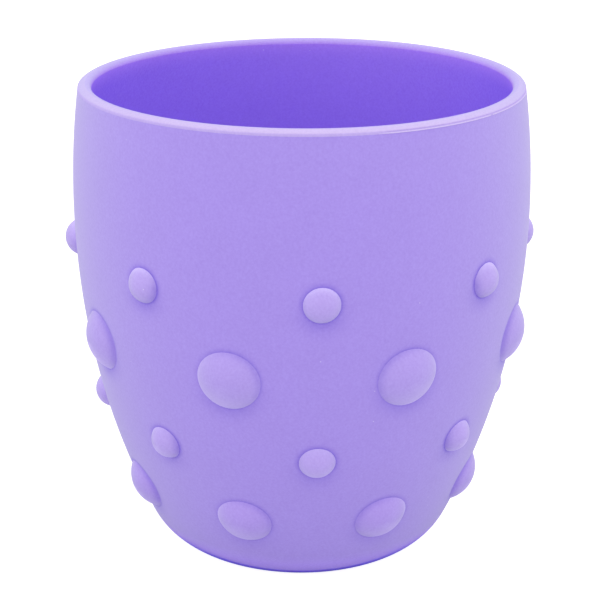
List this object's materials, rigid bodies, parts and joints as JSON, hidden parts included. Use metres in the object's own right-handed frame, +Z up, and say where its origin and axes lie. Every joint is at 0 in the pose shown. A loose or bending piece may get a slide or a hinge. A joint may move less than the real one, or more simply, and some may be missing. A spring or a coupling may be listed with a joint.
{
  "type": "silicone cup",
  "caption": "Open-topped moulded silicone drinking cup with a rounded lip, a barrel-shaped wall, a thick floor and staggered rows of domed grip bumps.",
  "frame": {"origin": "centre of the foot, on the plane the cup stands on", "axes": "+Z up along the cup's axis to the open mouth; -Y is the front, where one column of small bumps faces; +X to the right seen from the front"},
  "size_m": [0.0792, 0.0792, 0.08],
  "materials": {
    "silicone": "soft matte, slightly translucent moulded silicone"
  },
  "bodies": {
    "root": {"rim_lip": "silicone", "side_wall": "silicone", "base": "silicone", "upper_small_bumps": "silicone", "upper_large_bumps": "silicone", "lower_small_bumps": "silicone", "lower_large_bumps": "silicone"}
  },
  "joints": []
}
